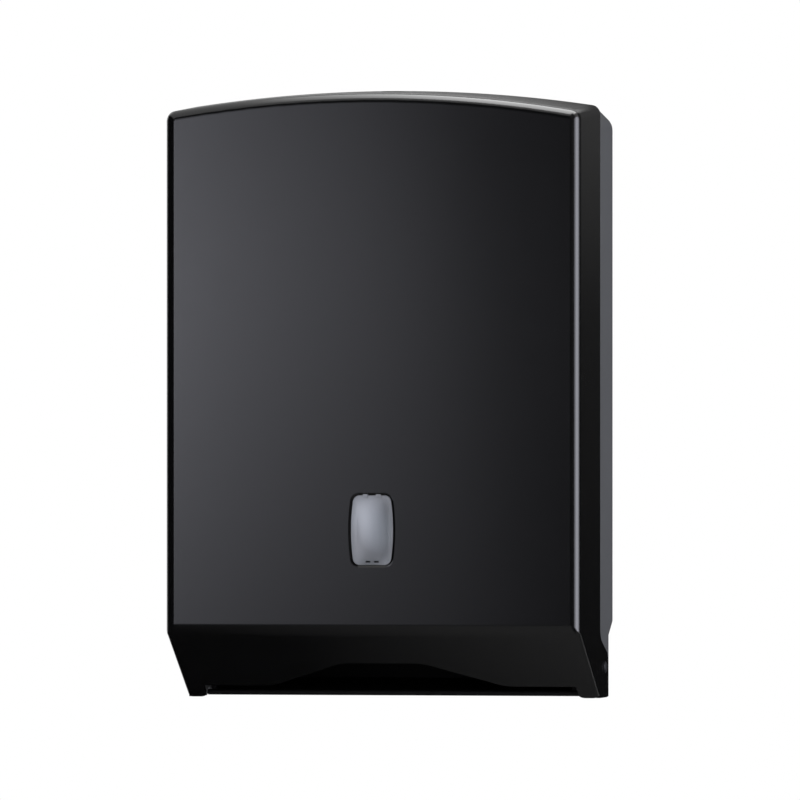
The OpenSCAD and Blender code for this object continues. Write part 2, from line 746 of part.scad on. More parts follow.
// Screws that hold the keeper
module keeper_screws() color(steel) placed()
    for (z = keeper_screw_z) pan_screw(keeper_x + keeper_w / 2, seat_y - sheet_t, z);

// A towel guide on the right-hand side: an upright blade on a screwed foot, with gussets
module towel_guide() color(tray_black) placed() {
    x = guide_x;
    top = guide_z + guide_h;
    nose_y = seat_y - guide_d + guide_nose_r;
    difference() {
        union() {
            sideways(x, guide_t)
                polygon(concat([[seat_y, guide_z], [seat_y, top]],
                    arc(nose_y, top - guide_nose_r, guide_nose_r, 90, 180, 8),
                    arc(nose_y, guide_z + guide_nose_r, guide_nose_r, 180, 270, 8)));
            translate([x, seat_y - guide_foot_t, guide_z]) cube([guide_foot_w, guide_foot_t, guide_h]);
            for (z = [guide_z + guide_h / 4, guide_z + 3 * guide_h / 4])
                translate([0, 0, z])
                    linear_extrude(rib_t)
                        polygon([[x, seat_y], [x + guide_foot_w, seat_y],
                            [x + guide_foot_w, seat_y - guide_foot_t],
                            [x + guide_t, seat_y - gusset_d], [x, seat_y - gusset_d]]);
        }
        for (z = guide_screw_z) screw_hole(guide_screw_x, z, guide_foot_t);
    }
}

// Right towel guide
module right_towel_guide() towel_guide();

// Left towel guide
module left_towel_guide() mirror([1, 0, 0]) towel_guide();

// Screws that hold the towel guides
module guide_screws() color(steel) placed()
    for (side = [-1, 1], z = guide_screw_z) pan_screw(side * guide_screw_x, seat_y - guide_foot_t, z);

rear_body();
front_cover();
level_window();
towel_tray();
tray_screws();
left_hinge_pin();
right_hinge_pin();
lock_housing();
lock_washer();
lock_nut();
lock_core();
lock_cam();
cam_washer();
cam_screw();
lock_keeper();
keeper_screws();
left_towel_guide();
right_towel_guide();
guide_screws();
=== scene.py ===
import json
import math
from contextlib import contextmanager

import bmesh
import bpy
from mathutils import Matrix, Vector

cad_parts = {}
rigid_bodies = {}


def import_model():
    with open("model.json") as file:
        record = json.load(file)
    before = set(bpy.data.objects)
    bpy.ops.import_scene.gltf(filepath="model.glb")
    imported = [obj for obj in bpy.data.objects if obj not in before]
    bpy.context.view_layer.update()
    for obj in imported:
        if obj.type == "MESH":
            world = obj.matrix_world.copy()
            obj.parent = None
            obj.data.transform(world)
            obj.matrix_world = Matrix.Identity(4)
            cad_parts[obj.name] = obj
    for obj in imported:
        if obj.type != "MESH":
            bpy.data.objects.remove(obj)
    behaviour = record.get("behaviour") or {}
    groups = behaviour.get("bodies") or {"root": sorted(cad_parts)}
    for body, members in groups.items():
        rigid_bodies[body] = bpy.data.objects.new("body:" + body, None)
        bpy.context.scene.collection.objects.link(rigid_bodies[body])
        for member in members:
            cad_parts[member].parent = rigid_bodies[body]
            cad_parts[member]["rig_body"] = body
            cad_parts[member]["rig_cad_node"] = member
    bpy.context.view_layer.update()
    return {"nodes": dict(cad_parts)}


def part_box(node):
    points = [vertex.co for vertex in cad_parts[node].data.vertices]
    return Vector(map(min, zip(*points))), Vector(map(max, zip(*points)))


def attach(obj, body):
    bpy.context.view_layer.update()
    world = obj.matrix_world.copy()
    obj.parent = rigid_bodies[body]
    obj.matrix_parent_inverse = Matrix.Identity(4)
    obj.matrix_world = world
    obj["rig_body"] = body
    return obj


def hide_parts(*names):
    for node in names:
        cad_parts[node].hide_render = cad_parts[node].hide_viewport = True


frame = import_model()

bl_info = {
    "name": "Folded towel dispenser",
    "version": (1, 0, 0),
    "blender": (4, 5, 0),
    "location": "View3D > Sidebar > Towel case",
    "description": "Models and finishes a wall-hung dispenser for folded paper towels",
    "category": "Object",
}

# Points closer than this are merged
HAIR = 1e-5
# Places closer than this count as the same
SAME = 2e-5
# Points closer than this to a slice lie on it
TINY = 1e-6
# How far a cutter stands clear of what it cuts
CLEAR = 0.001
# How far a joined form reaches into its neighbour
OVERLAP = 0.0005
# The share of a face's normal along an axis from which it faces that way
FACING = 0.9


def length(name, description, default):
    """A size in metres that a user may change."""
    return bpy.props.FloatProperty(
        name=name, description=description, default=default, unit="LENGTH", precision=5
    )


def tint(name, description, default):
    """A colour that a user may change."""
    return bpy.props.FloatVectorProperty(
        name=name, description=description, default=default, size=3, min=0.0, max=1.0, subtype="COLOR"
    )


class TowelCaseSizes(bpy.types.PropertyGroup):
    """Sizes of the case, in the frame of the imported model"""

    feet: length("Feet", "Height of the feet in the frame", -0.210)
    width: length("Width", "Width of the cover over its side walls", 0.276)
    height: length("Height", "Height from the feet to the top of the arch", 0.400)
    depth: length("Depth", "Depth from the wall to the front face", 0.130)
    cover_depth: length("Cover depth", "Depth of the cover's side walls", 0.079)
    wall: length("Cover wall", "Wall thickness of the cover", 0.0028)
    front_rise: length("Front rise", "Rise of the arch at the front edge of the top", 0.0123)
    rear_rise: length("Rear rise", "Rise of the arch at the rear rim of the top", 0.0106)
    front_drop: length("Front drop", "How much lower the arch lies at the front", 0.0034)
    edge_radius: length("Edge radius", "Radius of the rounded front edges", 0.0065)
    corner_radius: length("Corner radius", "Radius of the upper corners", 0.006)
    chin_radius: length("Chin radius", "Radius of the corners along the chin", 0.0035)
    knee: length("Knee", "Height at which the planes of face and chin meet", 0.044)
    knee_radius: length("Knee radius", "Radius of the edge between face and chin", 0.010)
    chin_end: length("Chin end", "Distance of the chin's lower end from the wall", 0.056)
    foot_width: length("Foot width", "Width of each foot beside the mouth", 0.0131)
    slot_length: length("Slot length", "Length of chin that the mouth slot takes away", 0.0151)
    notch_width: length("Notch width", "Width of the finger notch at the slot", 0.156)
    notch_flat: length("Notch flat", "Width of the flat top of the finger notch", 0.054)
    notch_length: length("Notch length", "Depth of the finger notch beyond the slot", 0.0303)
    notch_turn: length("Notch turn", "Radius of the finger notch's rounded turns", 0.024)
    foot_round: length("Foot round", "Radius of the feet's inner corners", 0.004)
    axis_back: length("Hinge axis depth", "Distance of the hinge axis from the wall", 0.033)
    axis_height: length("Hinge axis height", "Height of the hinge axis above the feet", 0.020)
    ear_rear: length("Ear rear", "Distance of the ears' rear edge from the wall", 0.020)
    ear_top: length("Ear top", "Height where the ear's upper edge meets the rim", 0.0395)
    ear_height: length("Ear height", "Height of the ears at their rear edge", 0.030)
    ear_fillet: length("Ear fillet", "Radius between an ear and the rim", 0.010)
    ear_corner: length("Ear corner", "Radius of the ears' rear corners", 0.005)
    pin_hole: length("Pin hole", "Diameter of the holes for the hinge pins", 0.00612)
    window_width: length("Window width", "Width of the window opening across its middle", 0.0286)
    window_height: length("Window height", "Height of the window opening", 0.046)
    window_bulge: length("Window bulge", "Bulge of each long side of the window", 0.0019)
    window_corner: length("Window corner", "Radius of the window's corners", 0.004)
    window_edge: length("Window edge", "Width of the opening's sloping front edge", 0.0014)
    window_bevel: length("Window bevel", "Depth of the opening's sloping front edge", 0.0007)
    window_place: length("Window place", "Height of the window's centre above the feet", 0.111)
    window_gap: length("Window gap", "Gap round the window", 0.0003)
    window_recess: length("Window recess", "How far the window's middle lies behind the face", 0.0003)
    window_dome: length("Window dome", "Height of the window's domed middle over its border", 0.0009)
    window_border: length("Window border", "Width of the window's border round its dome", 0.0028)
    clip_place: length("Clip place", "Distance of the window's upper clips from its middle", 0.0044)
    slot_place: length("Slot place", "Distance of the window's lower slots from its middle", 0.0028)
    clip_width: length("Clip width", "Width of the window's clips and slots", 0.0032)
    slot_rise: length("Slot rise", "Height of the lower slots above the window's lower edge", 0.0015)
    slot_height: length("Slot height", "Height of the window's lower slots", 0.0011)
    tab_height: length("Tab height", "Height of the window's upper clips within its outline", 0.0011)
    hook_thickness: length("Hook thickness", "Thickness of the upper clips' hooks", 0.00015)
    hook_reach: length("Hook reach", "How far the upper clips' hooks reach past the window's gap", 0.0005)
    lock_set: length("Lock place", "Distance of the lock's axis behind the front face", 0.060)
    lock_boss: length("Lock boss", "Diameter of the boss under the lock", 0.028)
    lock_barrel: length("Lock hole", "Diameter of the hole for the lock's barrel", 0.0182)
    lock_flange: length("Lock recess", "Diameter of the recess for the lock's flange", 0.0224)
    lock_seat: length("Lock seat", "Depth of the recess for the lock's flange", 0.0025)
    lock_boss_depth: length("Lock boss depth", "How far the boss reaches below the cover's top", 0.0085)
    cover_break: length("Cover edge", "Width of the cover's broken edges", 0.0004)
    screw_head: length("Screw head", "Diameter of the fixing screws' heads", 0.006)
    screw_head_height: length("Screw head height", "Height of the fixing screws' heads", 0.0022)
    screw_shaft: length("Screw shaft", "Diameter of the fixing screws", 0.003)
    cam_screw_head: length("Cam screw head", "Diameter of the cam screw's head", 0.008)
    cam_screw_head_height: length("Cam screw head height", "Height of the cam screw's head", 0.0028)
    cam_screw_shaft: length("Cam screw shaft", "Diameter of the cam screw", 0.004)


class TowelCaseFinishes(bpy.types.PropertyGroup):
    """Colours of the case's finishes"""

    cover_black: tint("Cover black", "Satin black of the moulded cover", (0.0025, 0.0025, 0.0028))
    body_grey: tint("Body grey", "Matt dark grey of the rear body", (0.049, 0.051, 0.055))
    tray_black: tint("Tray black", "Matt black of the tray and guides", (0.005, 0.005, 0.0055))
    frost: tint("Frost", "Frosted grey of the level window", (0.208, 0.229, 0.272))
    zinc: tint("Zinc", "Bright zinc of screws, cam and keeper", (0.60, 0.61, 0.62))
    nickel: tint("Nickel", "Satin nickel of the lock", (0.70, 0.69, 0.66))
    black_steel: tint("Black steel", "Blackened steel of the hinge pins", (0.030, 0.030, 0.032))


class TowelCaseStage(bpy.types.PropertyGroup):
    """Camera and floor of the stage"""

    turn: bpy.props.FloatProperty(
        name="Turn", description="Angle of the camera to the right of the front",
        default=math.radians(10.7), unit="ROTATION"
    )
    distance: length("Distance", "Distance of the camera from the front face", 8.0)
    lens: bpy.props.FloatProperty(
        name="Lens", description="Focal length in millimetres", default=550.8, unit="CAMERA"
    )
    aim_right: length("Aim right", "How far the camera aims to the right of the face's middle", 0.01853)
    aim_up: length("Aim up", "How far the camera aims above the face's middle", -0.0039)
    floor_drop: length("Floor drop", "Height of the feet above the floor", 0.30)


def sizes():
    """The case's sizes as they are set."""
    return bpy.context.scene.towel_case_sizes


def clear_selection():
    """Back to object mode with nothing selected."""
    if bpy.context.object and bpy.context.object.mode != "OBJECT":
        bpy.ops.object.mode_set(mode="OBJECT")
    bpy.ops.object.select_all(action="DESELECT")


def take(piece):
    """Selects one object alone and makes it active."""
    clear_selection()
    piece.select_set(True)
    bpy.context.view_layer.objects.active = piece


def take_copy(piece):
    """Copies a piece, with a mesh of its own."""
    take(piece)
    bpy.ops.object.duplicate(linked=False)
    return bpy.context.object


def name_piece(piece, name):
    """Gives a piece and its mesh one name."""
    piece.name = name
    piece.data.name = name


def settle(name):
    """Names the new primitive and puts its place into its mesh."""
    bpy.ops.object.transform_apply(location=True, rotation=True, scale=True)
    piece = bpy.context.object
    name_piece(piece, name)
    return piece


def start_block(name, low, high):
    """A block between two corners, to be shaped."""
    clear_selection()
    low, high = Vector(low), Vector(high)
    bpy.ops.mesh.primitive_cube_add(size=1, location=(low + high) / 2, scale=high - low)
    return settle(name)


def start_round(name, centre, diameter, tall, turn=(0, 0, 0), sides=64):
    """A round bar with its middle at centre, to be shaped."""
    clear_selection()
    bpy.ops.mesh.primitive_cylinder_add(
        vertices=sides, radius=diameter / 2, depth=tall, location=centre, rotation=turn
    )
    return settle(name)


@contextmanager
def bench(piece):
    """Edit mode on one piece."""
    take(piece)
    bpy.ops.object.mode_set(mode="EDIT")
    bpy.ops.mesh.select_all(action="SELECT")
    yield
    bpy.ops.object.mode_set(mode="OBJECT")


def pick(piece, kind, test):
    """Selects the vertices, edges or faces that pass a test, and nothing else."""
    bpy.ops.mesh.select_mode(type=kind)
    bpy.ops.mesh.select_all(action="DESELECT")
    mesh = bmesh.from_edit_mesh(piece.data)
    mesh.normal_update()
    elements = {"VERT": mesh.verts, "EDGE": mesh.edges, "FACE": mesh.faces}[kind]
    chosen = [element for element in elements if test(element)]
    for element in chosen:
        element.select_set(True)
    mesh.select_flush_mode()
    bmesh.update_edit_mesh(piece.data)
    if not chosen:
        raise RuntimeError(f"nothing to pick on {piece.name}")


def slice_at(point, normal, **options):
    """Cuts the whole piece on the bench by a plane."""
    bpy.ops.mesh.select_all(action="SELECT")
    bpy.ops.mesh.bisect(plane_co=point, plane_no=normal, threshold=TINY, **options)


def shift(vector):
    """Moves what is picked."""
    bpy.ops.transform.translate(value=vector)


def draw_out(vector):
    """Extrudes the picked faces."""
    bpy.ops.mesh.extrude_region_move(TRANSFORM_OT_translate={"value": vector})


def widen(centre, across, up):
    """Scales what is picked across and up, about a centre."""
    bpy.ops.transform.resize(value=(across, 1, up), center_override=centre)


def round_edges(offset, segments):
    """Rounds the picked edges."""
    bpy.ops.mesh.bevel(offset=offset, offset_type="OFFSET", segments=segments, profile=0.5, affect="EDGES",
                       clamp_overlap=False)


def near(a, b, hair=SAME):
    """Whether two places along an axis are the same."""
    return abs(a - b) < hair


def ends(edge):
    """The places of an edge's two ends."""
    return edge.verts[0].co, edge.verts[1].co


def apply_last(piece):
    """Applies the newest modifier of a piece."""
    take(piece)
    bpy.ops.object.modifier_apply(modifier=piece.modifiers[-1].name)


def carve(piece, tool, operation="DIFFERENCE"):
    """Cuts away or joins what a tool piece covers, and uses the tool up."""
    work = piece.modifiers.new("carve", "BOOLEAN")
    work.object = tool
    work.operation = operation
    work.solver = "EXACT"
    apply_last(piece)
    bpy.data.objects.remove(tool)


def clean_mesh(piece, angle):
    """Merges doubles and dissolves edges between faces that lie within an angle in degrees."""
    with bench(piece):
        bpy.ops.mesh.remove_doubles(threshold=HAIR)
        bpy.ops.mesh.dissolve_limited(angle_limit=math.radians(angle))


def break_edges(piece, width):
    """Breaks the sharp edges of a finished form."""
    work = piece.modifiers.new("edges", "BEVEL")
    work.width = width
    work.segments = 2
    work.limit_method = "ANGLE"
    work.angle_limit = math.radians(42)
    work.use_clamp_overlap = True
    work.miter_outer = "MITER_ARC"
    apply_last(piece)


def smooth(piece, angle=32, hard=None):
    """Smooth shading that keeps flats flat, with hard edges where a test finds them."""
    take(piece)
    bpy.ops.object.shade_smooth_by_angle(angle=math.radians(angle))
    if hard:
        with bench(piece):
            pick(piece, "EDGE", hard)
            bpy.ops.mesh.mark_sharp()
    work = piece.modifiers.new("flats", "WEIGHTED_NORMAL")
    work.keep_sharp = True
    work.weight = 60
    apply_last(piece)


class Wire:
    """One socket of a node tree; sums on it add Math nodes."""

    def __init__(self, tree, socket=None):
        self.tree = tree
        self.socket = socket

    def add(self, kind, settings=None, sockets=None, out=0):
        """Adds any node: its settings first, then the values or links of its sockets."""
        made = self.tree.nodes.new(kind)
        for key, value in (settings or {}).items():
            setattr(made, key, value)
        for key, value in (sockets or {}).items():
            if isinstance(value, Wire):
                self.tree.links.new(value.socket, made.inputs[key])
            else:
                made.inputs[key].default_value = value
        return Wire(self.tree, made.outputs[out] if made.outputs else None)

    def sum(self, operation, a, b):
        """Adds a Math node on two values or links."""
        return self.add("ShaderNodeMath", {"operation": operation}, {0: a, 1: b})

    def __add__(self, other):
        return self.sum("ADD", self, other)

    def __radd__(self, other):
        return self.sum("ADD", other, self)

    def __sub__(self, other):
        return self.sum("SUBTRACT", self, other)

    def __rsub__(self, other):
        return self.sum("SUBTRACT", other, self)

    def __mul__(self, other):
        return self.sum("MULTIPLY", self, other)

    def __rmul__(self, other):
        return self.sum("MULTIPLY", other, self)

    def __truediv__(self, other):
        return self.sum("DIVIDE", self, other)

    def __rtruediv__(self, other):
        return self.sum("DIVIDE", other, self)


def new_finish(name):
    """A new material, with a wire on its tree, its object coordinates and its shader."""
    material = bpy.data.materials.new(name)
    material.use_nodes = True
    tree = material.node_tree
    shader = tree.nodes["Principled BSDF"]
    wire = Wire(tree)
    where = wire.add("ShaderNodeTexCoord", out="Object")
    return material, wire, where, shader


def feed(wire, shader, **links):
    """Links wires to the shader's sockets by their names, with _ for a blank."""
    for key, value in links.items():
        wire.tree.links.new(value.socket, shader.inputs[key.replace("_", " ")])


def fix(shader, **values):
    """Sets the shader's sockets that are the same all over, with _ for a blank."""
    for key, value in values.items():
        shader.inputs[key.replace("_", " ")].default_value = value


def axes(wire, where):
    """The three coordinates of a place."""
    parted = wire.add("ShaderNodeSeparateXYZ", None, {0: where}).socket.node
    return [Wire(wire.tree, socket) for socket in parted.outputs]


def noise(wire, where, scale, detail=2.0, distortion=0.0):
    """A level that varies at random over a surface."""
    return wire.add("ShaderNodeTexNoise", None,
                    {"Vector": where, "Scale": scale, "Detail": detail, "Distortion": distortion})


def blend_colours(wire, factor, a, b):
    """A mix of two colours by a wire."""
    return wire.add("ShaderNodeMix", {"data_type": "RGBA"}, {0: factor, 6: (*a, 1.0), 7: (*b, 1.0)}, out=2)


def graded(wire, value, span, levels):
    """A level that runs from one to the other of a pair while a value runs over a span."""
    return wire.add("ShaderNodeMapRange", None, {"Value": value, "From Min": span[0], "From Max": span[1],
                                                 "To Min": levels[0], "To Max": levels[1]})


def falling(wire, value, middle, reach):
    """1 at the middle, falling to 0 at a reach on either side of it."""
    return 1 - wire.sum("ABSOLUTE", value - middle, 0.0) / reach


def bumped(wire, height, strength, distance):
    """A normal that follows a height."""
    return wire.add("ShaderNodeBump", None, {"Strength": strength, "Distance": distance, "Height": height})


def shade(colour, share):
    """A darker or lighter colour of the same hue."""
    return tuple(min(1.0, c * share) for c in colour)


def moulded_plastic(name, colour, roughness, grain_scale, grain, specular=0.5):
    """Injection-moulded plastic: faint flow clouds, hazy patches and the fine grain of the mould."""
    material, wire, where, shader = new_finish(name)
    haze = 0.05
    clouds = noise(wire, where, scale=7.0, detail=3.0, distortion=0.4)
    patches = noise(wire, where, scale=38.0, detail=4.0, distortion=0.8)
    pits = noise(wire, where, scale=grain_scale)
    fine = noise(wire, where, scale=grain_scale * 3.1, detail=1.0)
    clouded = clouds * 0.7 + pits * 0.3
    feed(wire, shader,
         Base_Color=blend_colours(wire, clouded, shade(colour, 0.86), shade(colour, 1.12)),
         Roughness=roughness - haze / 2 + patches * haze * 0.7 + clouds * haze * 0.3,
         Normal=bumped(wire, pits * 0.7 + fine * 0.3, strength=grain, distance=0.0002))
    fix(shader, IOR=1.5, Specular_IOR_Level=specular)
    return material


def frosted_pane(name, colour, middle):
    """Frosted plastic: fine etched grain, a milky body, and a painted highlight palest above its middle that
    falls to painted shade towards its edges.
    """
    material, wire, where, shader = new_finish(name)
    across, _, up = axes(wire, where)
    # Painted highlight: a soft pale patch a little above and left of the middle that leans with height, with
    # painted shade outside it
    lift, lean, left = 0.005, 0.25, 0.0005
    half_wide, half_high = 0.0145, 0.021
    rise = up - middle - lift
    aside, above = (across + rise * lean + left) / half_wide, rise / half_high
    pale = graded(wire, aside * aside + above * above, (0.0, 1.0), (1.0, 0.0))
    milky = noise(wire, where, scale=60.0, detail=3.0, distortion=0.5)
    etch = noise(wire, where, scale=2600.0)
    # The base colour runs from painted shade at the edges to the frost colour under the painted highlight,
    # with milky tone mixed in
    feed(wire, shader,
         Base_Color=blend_colours(wire, pale * 0.8 + milky * 0.2, shade(colour, 0.35), colour),
         Roughness=0.30 + milky * 0.08 + etch * 0.06,
         Normal=bumped(wire, etch, strength=0.05, distance=0.0002))
    fix(shader, Coat_Weight=1.0, Coat_Roughness=0.28, Coat_IOR=2.4)
    return material


def worked_metal(name, colour, roughness, brush, stretch):
    """Plated or blackened metal: drawn lines along one axis, and stains of handling."""
    material, wire, where, shader = new_finish(name)
    drawn = wire.add("ShaderNodeMapping", None, {"Vector": where, "Scale": stretch})
    lines = noise(wire, drawn, scale=900.0, detail=3.0)
    stains = noise(wire, where, scale=140.0, detail=4.0, distortion=0.6)
    feed(wire, shader,
         Base_Color=blend_colours(wire, stains * 0.6 + lines * 0.4, shade(colour, 0.8), colour),
         Roughness=roughness - 0.06 + stains * 0.08 + lines * 0.06,
         Normal=bumped(wire, lines, strength=brush, distance=0.0001))
    fix(shader, Metallic=1.0)
    return material


FINISHES = {}


def finish_of(slot):
    """The material of a record's slot, made once."""
    if slot not in FINISHES:
        s, f = sizes(), bpy.context.scene.towel_case_finishes
        makers = {
            "cover_plastic": lambda: moulded_plastic(
                "satin_black", f.cover_black, roughness=0.18, grain_scale=1500.0, grain=0.02),
            "body_plastic": lambda: moulded_plastic(
                "matt_grey", f.body_grey, roughness=0.58, grain_scale=1100.0, grain=0.16),
            "tray_plastic": lambda: moulded_plastic(
                "matt_black", f.tray_black, roughness=0.55, grain_scale=1100.0, grain=0.10, specular=0.12),
            "window_plastic": lambda: frosted_pane("frosted", f.frost, middle=s.feet + s.window_place),
            "zinc_steel": lambda: worked_metal(
                "bright_zinc", f.zinc, roughness=0.34, brush=0.06, stretch=(1.0, 1.0, 0.12)),
            "lock_nickel": lambda: worked_metal(
                "satin_nickel", f.nickel, roughness=0.26, brush=0.04, stretch=(0.3, 0.3, 1.0)),
            "pin_steel": lambda: worked_metal(
                "black_steel", f.black_steel, roughness=0.58, brush=0.05, stretch=(0.2, 1.0, 1.0)),
        }
        FINISHES[slot] = makers[slot]()
    return FINISHES[slot]


def place(piece, body, slot, node):
    """Gives a finished piece its material and hands it to its body in place of its CAD node."""
    piece.data.materials.clear()
    piece.data.materials.append(finish_of(slot))
    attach(piece, body)
    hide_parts(node)


def sag_of(radius, x):
    """How far a circle has fallen at x from its top."""
    return radius - math.sqrt(radius * radius - x * x)


def sag(chord, rise, x):
    """How far an arch of a given chord and rise has fallen at x from its middle."""
    return sag_of((chord * chord / 4 + rise * rise) / (2 * rise), x)


def chin_out(s):
    """The direction out of the chin's face."""
    return Vector((0, -s.knee, s.chin_end - s.depth)).normalized()


def barrel_block(name, s, grow, front, back):
    """The window's barrel shape as a block between two depths."""
    half_end = s.window_width / 2 - s.window_bulge + grow
    half_high = s.window_height / 2 + grow
    middle = s.feet + s.window_place
    # The slices end a little before the round corners
    straight, spans = half_high - 1.1 * s.window_corner, 6
    rows = [straight * i / spans for i in range(-spans, spans + 1)]
    piece = start_block(name, (-half_end, front, middle - half_high), (half_end, back, middle + half_high))
    with bench(piece):
        for up in rows:
            slice_at((0, 0, middle + up), (0, 0, 1))
        for up in rows:
            out = s.window_bulge - sag(2 * half_high, s.window_bulge, up)
            for side in (-1, 1):
                pick(piece, "VERT", lambda v: near(v.co.z, middle + up) and v.co.x * side > 0)
                shift((side * out, 0, 0))
        pick(piece, "EDGE", lambda e: not near(*[p.y for p in ends(e)])
             and all(near(abs(p.x), half_end) and near(abs(p.z - middle), half_high) for p in ends(e)))
        round_edges(s.window_corner + grow, segments=8)
    return piece


def window_tool(s):
    """The window's opening as a cutter that flares out at its front edge."""
    front, middle = -s.depth + s.window_bevel, s.feet + s.window_place
    tool = barrel_block("window_tool", s, 0.0, front, -s.depth + s.wall + CLEAR)
    with bench(tool):
        pick(tool, "FACE", lambda f: f.normal.y < -FACING)
        draw_out((0, -s.window_bevel, 0))
        wider, taller = (1 + 2 * s.window_edge / size for size in (s.window_width, s.window_height))
        widen((0, front, middle), wider, taller)
        draw_out((0, -CLEAR, 0))
    return tool


def mouth_tool(s):
    """The mouth slot and finger notch as a cutter square to the chin."""
    half = s.width / 2 - s.foot_width
    flank = (s.notch_width - s.notch_flat) / 2
    steep = math.atan2(s.notch_length, flank)
    reach, run = s.notch_turn * math.tan(steep / 2), s.notch_turn * math.sin(steep)
    low_end, high_end = s.notch_width / 2 + reach, s.notch_flat / 2 - reach
    turn_steps, foot_steps = 8, 6
    ways = [run * i / turn_steps for i in range(turn_steps + 1)]
    turn = [(way, sag_of(s.notch_turn, way)) for way in ways]
    stations = [(low_end - way, rise) for way, rise in turn if way]
    stations += [(high_end + way, s.notch_length - fall) for way, fall in turn]
    rows = [s.foot_round * (1 - math.cos(math.pi / 2 * i / foot_steps)) for i in range(foot_steps)]
    thick, drop = 4 * s.wall, 0.012
    tool = start_block("mouth_tool", (-half, -drop, -thick), (half, s.slot_length, thick))
    with bench(tool):
        for side in (-1, 1):
            for x, _ in stations:
                slice_at((side * x, 0, 0), (1, 0, 0))
            slice_at((side * low_end, 0, 0), (1, 0, 0))
        for up in rows:
            slice_at((0, up, 0), (0, 1, 0))
        for side in (-1, 1):
            for x, rise in stations:
                pick(tool, "VERT", lambda v: near(v.co.x, side * x) and near(v.co.y, s.slot_length))
                shift((0, rise, 0))
            for up in (-drop, *rows):
                pick(tool, "VERT", lambda v: near(v.co.x, side * half) and near(v.co.y, up))
                shift((side * sag_of(s.foot_round, s.foot_round - max(up, 0.0)), 0, 0))
    tool.rotation_euler = (math.atan2(s.knee, s.chin_end - s.depth), 0, 0)
    tool.location = (0, -s.chin_end, s.feet)
    take(tool)
    return settle("mouth_tool")


def ear(s, side):
    """One hinge ear as a plate, with its sloping top, fillet and round corners."""
    half, rim = s.width / 2, s.cover_depth - s.depth
    meet, plate_top, tool_top = s.feet + s.ear_top, s.feet + 0.058, s.feet + 0.12
    inner, outer = sorted((side * (half - s.wall), side * half))
    aside = 10 * CLEAR
    piece = start_block("ear", (inner, rim - OVERLAP, s.feet), (outer, -s.ear_rear, plate_top))
    slope = (s.ear_top - s.ear_height) / (-s.ear_rear - s.ear_corner - rim)
    tool = start_block("ear_tool", (inner - aside, rim, meet), (outer + aside, 0.0, tool_top))
    with bench(tool):
        pick(tool, "VERT", lambda v: near(v.co.y, 0) and near(v.co.z, meet))
        shift((0, 0, slope * rim))
        pick(tool, "EDGE", lambda e: all(near(p.y, rim) and near(p.z, meet) for p in ends(e)))
        round_edges(s.ear_fillet * math.tan((math.pi / 2 - math.atan(slope)) / 2), segments=12)
    carve(piece, tool)
    with bench(piece):
        pick(piece, "EDGE", lambda e: near(*[p.z for p in ends(e)])
             and all(near(p.y, -s.ear_rear) for p in ends(e)))
        # The upper corner is wider than square, so the offset is less than the radius
        round_edges(s.ear_corner * 0.85, segments=8)
    return piece


def cover_shell(s):
    """The cover's moulded shell: arched block, chin, rounded edges, hollowed from behind."""
    half, front, rim = s.width / 2, -s.depth, s.cover_depth - s.depth
    top, knee = s.feet + s.height, s.feet + s.knee
    out = chin_out(s)
    knee_turn = math.pi / 2 - math.atan2(s.knee, s.depth - s.chin_end)
    columns, arch_band, lengthwise = 40, 0.02, 0.01
    shell = start_block("cover_shell", (-half, front, s.feet), (half, rim, top))

    def on_sides(*points):
        return all(near(abs(p.x), half) for p in points)

    def on_front(*points):
        return all(near(p.y, front) for p in points)

    def on_arch(*points):
        return all(p.z > top - arch_band for p in points)

    def on_chin(*points):
        return all(near((p - Vector((0, front, knee))).dot(out), 0) or near(p.z, s.feet) for p in points)

    with bench(shell):
        slice_at((0, front, knee), out, use_fill=True, clear_outer=True)
        for i in range(1, columns):
            slice_at((-half + 2 * half * i / columns, 0, 0), (1, 0, 0))
        for i in range(columns + 1):
            x = -half + 2 * half * i / columns
            front_fall, rear_fall = s.front_drop + sag(s.width, s.front_rise, x), sag(s.width, s.rear_rise, x)
            for y, fall in ((front, front_fall), (rim, rear_fall)):
                pick(shell, "VERT", lambda v: near(v.co.x, x) and near(v.co.y, y) and near(v.co.z, top))
                shift((0, 0, -fall))
        widest = max(s.edge_radius, s.corner_radius)
        for radius, test in (
            # The upper corners are wider than square, so the offset is less than the radius
            (s.corner_radius * 0.86,
             lambda a, b: on_sides(a, b) and on_arch(a, b) and abs(a.y - b.y) > lengthwise),
            (s.edge_radius, lambda a, b: on_front(a, b) and (on_sides(a, b) or on_arch(a, b))),
            (s.chin_radius, lambda a, b: on_sides(a, b) and on_chin(a, b) and abs(a.y - b.y) > HAIR),
            (s.knee_radius * math.tan(knee_turn / 2),
             lambda a, b: on_front(a, b) and near(a.z, knee) and near(b.z, knee)),
        ):
            pick(shell, "EDGE", lambda e: test(*ends(e)))
            bpy.ops.transform.edge_bevelweight(value=radius / widest)
    work = shell.modifiers.new("rounding", "BEVEL")
    work.width = widest
    work.segments = 7
    work.limit_method = "WEIGHT"
    work.use_clamp_overlap = False
    apply_last(shell)
    with bench(shell):
        pick(shell, "FACE", lambda f: f.normal.y > FACING)
        bpy.ops.mesh.delete(type="FACE")
    work = shell.modifiers.new("wall", "SOLIDIFY")
    work.thickness = s.wall
    work.offset = -1
    work.use_even_offset = True
    work.use_quality_normals = True
    apply_last(shell)
    return shell


def seat_lock(shell, s):
    """Joins the boss under the lock to the cover, and bores and recesses it."""
    y = s.lock_set - s.depth
    top = s.feet + s.height - s.front_drop * (s.cover_depth - s.depth - y) / s.cover_depth
    seat, low = top - s.lock_seat, top - s.lock_boss_depth
    bore, recess = 0.04, 0.02
    boss = start_round("boss", (0, y, (seat + low + OVERLAP) / 2), s.lock_boss, seat - low + OVERLAP)
    carve(shell, boss, "UNION")
    carve(shell, start_round("bore", (0, y, low), s.lock_barrel, bore))
    carve(shell, start_round("recess", (0, y, seat + recess / 2), s.lock_flange, recess))


